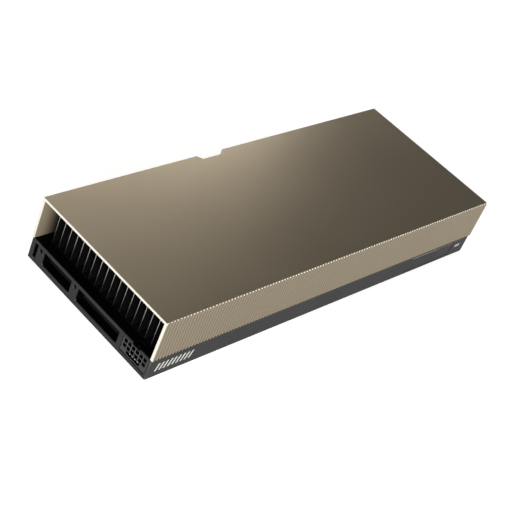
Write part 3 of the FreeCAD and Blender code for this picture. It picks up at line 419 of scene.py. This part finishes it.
def dress_nodes():
    """Give every CAD node its material."""
    screw = grained("screw_black", (0.05, 0.05, 0.053), 1.0, 0.35, 0.2, 0.006,
                    worn_and_highlight=(0.25, 0.25, 0.26))
    silicon = grained("silicon", (0.12, 0.13, 0.15), 0.6, 0.15, 0.5, 0.002)
    gold = grained("contact_gold", (0.80, 0.57, 0.23), 0.75, 0.3, 0.3, 0.004)
    tin = grained("contact_tin", (0.66, 0.65, 0.62), 0.75, 0.3, 0.3, 0.004)
    chip = grained("chip_mould", (0.02, 0.02, 0.021), 0.0, 0.5, 0.2, 0.006)
    choke = grained("pressed_powder", (0.03, 0.03, 0.031), 0.0, 0.55, 0.25, 0.02)
    fin = fin_material()
    chosen = {
        "shroud": champagne("champagne_anodised", 1.0, 0.29),
        # The frame takes painted shade in its hollows and on its deck under the duct.
        "base_frame": grained("frame_black", (0.016, 0.016, 0.0165), 0.0, 0.5, 0.35, 0.012,
                              gloss=0.2, worn_and_highlight=WORN_AND_HIGHLIGHT_BLACK, painted_shade_mask=frame_painted_shade),
        "backplate": grained("plate_black", (0.018, 0.018, 0.019), 0.0, 0.5, 0.3, 0.012,
                             gloss=0.35, worn_and_highlight=WORN_AND_HIGHLIGHT_BLACK),
        # The cover's pale edge colour is a painted highlight on its broken edges.
        "bridge_cover": grained("cover_black", (0.018, 0.018, 0.0185), 0.0, 0.5, 0.3, 0.012,
                                gloss=0.2, worn_and_highlight=(0.55, 0.51, 0.44)),
        # The receptacle takes painted shade inside its cells.
        "power_receptacle": grained("housing_black", (0.024, 0.024, 0.024), 0.0, 0.45, 0.25, 0.008,
                                    gloss=0.4, worn_and_highlight=WORN_AND_HIGHLIGHT_BLACK, painted_shade_mask=housing_painted_shade),
        "circuit_board": grained("board_mask", (0.005, 0.009, 0.007), 0.0, 0.35, 0.5, 0.01,
                                 spread=0.2, gloss=0.12),
        "heatsink_plate": grained("sink_black", (0.002, 0.002, 0.002), 0.0, 0.75, 0.3, 0.01,
                                  gloss=0.1),
        "insulator_sheet": grained("film_black", (0.03, 0.03, 0.03), 0.0, 0.6, 0.3, 0.004),
        "vapour_chamber": grained("copper_plain", (0.72, 0.37, 0.23), 1.0, 0.35, 0.4, 0.006),
        "package_substrate": grained("package_green", (0.04, 0.11, 0.07), 0.0, 0.35, 0.3, 0.006),
        "stiffener_ring": grained("nickel", (0.55, 0.54, 0.53), 1.0, 0.3, 0.3, 0.004),
        "bulk_capacitors": grained("capacitor_mould", (0.14, 0.11, 0.07), 0.0, 0.5, 0.2, 0.006),
        "thermal_pads": grained("pad_soft", (0.42, 0.47, 0.52), 0.0, 0.8, 0.5, 0.02),
        "backplate_screws": screw, "heatsink_screws": screw, "shroud_screws": screw,
        "processor_die": silicon, "memory_stacks": silicon,
        "edge_contacts": gold, "bridge_contacts": gold,
        "power_contacts": tin, "sense_contacts": tin,
        "power_stages": chip, "controller_chips": chip,
        "power_inductors": choke, "input_chokes": choke,
    }
    for name, node in NODES.items():
        node.data.materials.clear()
        node.data.materials.append(fin if name.startswith("fin_") else chosen[name])


# ---------------------------------------------------------------- pieces that stand for CAD nodes
def shape_of(node):
    """The CAD node's own shape as one closed bmesh, with its flat faces whole."""
    shape = bmesh.new()
    shape.from_mesh(NODES[node].data)
    bmesh.ops.remove_doubles(shape, verts=shape.verts, dist=SAME_PLACE)
    bmesh.ops.dissolve_limit(shape, angle_limit=SAME_PLANE, verts=shape.verts, edges=shape.edges)
    return shape


def break_edges(shape, radius, segments, spared=None):
    """Round every square edge by a small radius, but for the edges in a spared box."""
    def touches(edge):
        if not spared:
            return False
        low, high = spared
        return all(low[axis] - SPARED_MARGIN < vert.co[axis] < high[axis] + SPARED_MARGIN
                   for vert in edge.verts for axis in range(3))

    sharp = [edge for edge in shape.edges if len(edge.link_faces) == 2
             and edge.calc_face_angle(0.0) > SHARP_EDGE and not touches(edge)]
    bmesh.ops.bevel(shape, geom=sharp, offset=radius, offset_type="OFFSET", segments=segments,
                    profile=0.5, affect="EDGES", clamp_overlap=True)


def stand_for(node, shape, materials):
    """Turn a finished bmesh into the piece that stands for a CAD node."""
    name = node + "_finished"
    mesh = finished_mesh(name, shape)
    for material in materials:
        mesh.materials.append(material)
    piece = add_object(name, mesh)
    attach(piece, "root")
    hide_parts(node)
    return piece


def make_rounded(node, radius, spared=None):
    """A CAD node with its square edges broken."""
    shape = shape_of(node)
    break_edges(shape, radius, 2, spared)
    stand_for(node, shape, [NODES[node].data.materials[0]])


def make_shroud():
    """Shroud with its rib crests bevelled along the top, its edges broken and its inside duller.

    The inside's material darkens away from both open ends as painted shade.
    """
    shape = shape_of("shroud")
    cut = bmesh.ops.bisect_plane(shape, geom=shape.verts[:] + shape.edges[:] + shape.faces[:],
                                 plane_co=Vector((0, SHROUD_LOW.y + CREST_BEVEL, SHROUD_HIGH.z)),
                                 plane_no=Vector((0, -1, 1)).normalized(), clear_outer=True)
    rim = [part for part in cut["geom_cut"] if isinstance(part, bmesh.types.BMEdge)]
    bmesh.ops.edgeloop_fill(shape, edges=rim)
    break_edges(shape, 0.1 * MM, 1)
    bmesh.ops.recalc_face_normals(shape, faces=shape.faces)
    middle = (SHROUD_LOW.y + SHROUD_HIGH.y) / 2
    half = (SHROUD_HIGH.y - SHROUD_LOW.y) / 2
    for face in shape.faces:
        centre = face.calc_center_median()
        off_middle = centre.y - middle
        inward = -face.normal.y * off_middle > 0.1 * half and abs(off_middle) < half - INSIDE_FROM
        ceiling = face.normal.z < -0.9 and centre.z > SHROUD_HIGH.z - CEILING_WITHIN
        face.material_index = int(inward or ceiling)
    outside = NODES["shroud"].data.materials[0]
    within = champagne("champagne_inside_painted_shade", 0.3, 0.55, painted_shade_inside=True)
    stand_for("shroud", shape, [outside, within])


def underside_heads(node):
    """Centres of four screw heads set in a rectangle on the underside."""
    low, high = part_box(node)
    return [Vector((across, over, low.z))
            for across in (low.x + HEAD_RADIUS, high.x - HEAD_RADIUS)
            for over in (low.y + HEAD_RADIUS, high.y - HEAD_RADIUS)]


def far_wall_heads(node):
    """Centres of two screw heads on the shroud's far wall."""
    low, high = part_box(node)
    radius = (high.z - low.z) / 2
    return [Vector((across, high.y, low.z + radius))
            for across in (low.x + radius, high.x - radius)]


def add_prism(shape, first, second):
    """Close a solid between two rings of corners, given in the same order."""
    shape.faces.new(reversed(first))
    shape.faces.new(second)
    for step, corner in enumerate(first):
        after = (step + 1) % len(first)
        shape.faces.new((corner, first[after], second[after], second[step]))


def star_prism(shape, centre, along, radius, depth):
    """A lobed prism centred on a spot, reaching a depth to both sides of it along a direction."""
    side = along.orthogonal().normalized()
    other = along.cross(side)
    rings = []
    for end in (-depth, depth):
        ring = []
        for step in range(STAR_POINTS):
            angle = math.tau * step / STAR_POINTS
            reach = radius * (1 + STAR_WAVE * math.cos(STAR_LOBES * angle))
            spot = side * (math.cos(angle) * reach) + other * (math.sin(angle) * reach)
            ring.append(shape.verts.new(centre + along * end + spot))
        rings.append(ring)
    add_prism(shape, *rings)


def make_driven(node, centres, along, radius, depth):
    """Screws with broken edges and a star recess sunk in each head."""
    shape = shape_of(node)
    break_edges(shape, HEAD_EDGE, 2)
    piece = stand_for(node, shape, [NODES[node].data.materials[0]])
    prisms = bmesh.new()
    for centre in centres:
        star_prism(prisms, centre, along, radius, depth)
    bmesh.ops.recalc_face_normals(prisms, faces=prisms.faces)
    cutter = add_object("recess", finished_mesh("recess", prisms))
    modifier = piece.modifiers.new("recess", "BOOLEAN")
    modifier.object = cutter
    modifier.solver = "EXACT"
    cut = piece.evaluated_get(bpy.context.evaluated_depsgraph_get())
    sunk = bpy.data.meshes.new_from_object(cut)
    piece.modifiers.clear()
    piece.data = sunk
    bpy.data.objects.remove(cutter)


def make_marks(name, material, start, floor, count, width, height, spacing):
    """A row of plain slanted bars printed on the frame's near face."""
    shape = bmesh.new()
    lean = PRINT_SLANT * height
    for step in range(count):
        left = start + step * spacing
        outline = ((left, floor), (left + width, floor),
                   (left + width + lean, floor + height), (left + lean, floor + height))
        front, back = ([shape.verts.new((across, depth, up)) for across, up in outline]
                       for depth in (FRAME_LOW.y - PRINT_THICKNESS, FRAME_LOW.y))
        add_prism(shape, back, front)
    bmesh.ops.recalc_face_normals(shape, faces=shape.faces)
    mesh = finished_mesh(name, shape)
    mesh.materials.append(material)
    piece = add_object(name, mesh)
    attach(piece, "root")


# ---------------------------------------------------------------- stage
def make_floor():
    """Large pale floor; seen straight or in gloss it is lifted to white, a little more far away."""
    mesh = bpy.data.meshes.new("floor")
    corners = [(across * FLOOR_REACH, over * FLOOR_REACH, 0)
               for across, over in ((-1, -1), (1, -1), (1, 1), (-1, 1))]
    mesh.from_pydata(corners, [], [(0, 1, 2, 3)])
    floor = add_object("floor", mesh)
    floor.location.z = -FLOOR_DROP
    material, graph, shader = new_material("floor_white")
    shader.inputs["Base Color"].default_value = FLOOR_GREY
    shader.inputs["Roughness"].default_value = 0.9
    shader.inputs["Specular IOR Level"].default_value = 0.0
    shader.inputs["Emission Color"].default_value = WHITE
    away = graph.node("VectorMath", operation="LENGTH")
    graph.feed(away.inputs[0], graph.place()[0])
    far = graph.step(away.outputs["Value"], *FLOOR_LIFT_DISTANCES)
    lift = graph.span(far, *FLOOR_LIFT)
    graph.feed(shader.inputs["Emission Strength"], graph.math("MULTIPLY", graph.seen(), lift))
    mesh.materials.append(material)


def make_world():
    """Soft room: even grey, white near the horizon where it is seen straight or in gloss."""
    world = bpy.data.worlds.new("studio")
    bpy.context.scene.world = world
    world.use_nodes = True
    graph = Graph(world.node_tree)
    back = only_node(world.node_tree, "BACKGROUND")
    up = graph.split(graph.node("TexCoord").outputs["Generated"])[2]
    low = graph.math("MULTIPLY", graph.step(up, *ROOM_HEIGHTS), graph.seen())
    graph.feed(back.inputs["Color"], graph.mix(low, ROOM_GREY, WHITE))
    back.inputs["Strength"].default_value = 1.0


# ---------------------------------------------------------------- the scene
make_camera()
make_world()
make_floor()
for lamp in LAMPS:
    make_lamp(*lamp)
bpy.context.scene.view_settings.view_transform = "Standard"

dress_nodes()
make_shroud()
make_rounded("base_frame", 0.2 * MM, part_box("bridge_cover"))
make_rounded("backplate", 0.15 * MM)
make_rounded("power_receptacle", 0.08 * MM)
make_rounded("bridge_cover", 0.04 * MM)
make_rounded("circuit_board", 0.08 * MM)

for node in ("backplate_screws", "heatsink_screws"):
    make_driven(node, underside_heads(node), UP, 1.0 * MM, 0.6 * MM)
make_driven("shroud_screws", far_wall_heads("shroud_screws"), BACK, 0.75 * MM, 0.45 * MM)

print_pale = grained("print_pale", (0.66, 0.65, 0.62), 0.0, 0.6, 0.2, 0.004)
make_marks("end_marks", print_pale, FRAME_LOW.x + 5.0 * MM, 3.8 * MM,
           count=9, width=1.3 * MM, height=5.0 * MM, spacing=2.9 * MM)
make_marks("outlet_mark", print_pale, FRAME_HIGH.x - 11.5 * MM, 6.2 * MM,
           count=1, width=4.6 * MM, height=1.9 * MM, spacing=0.0)
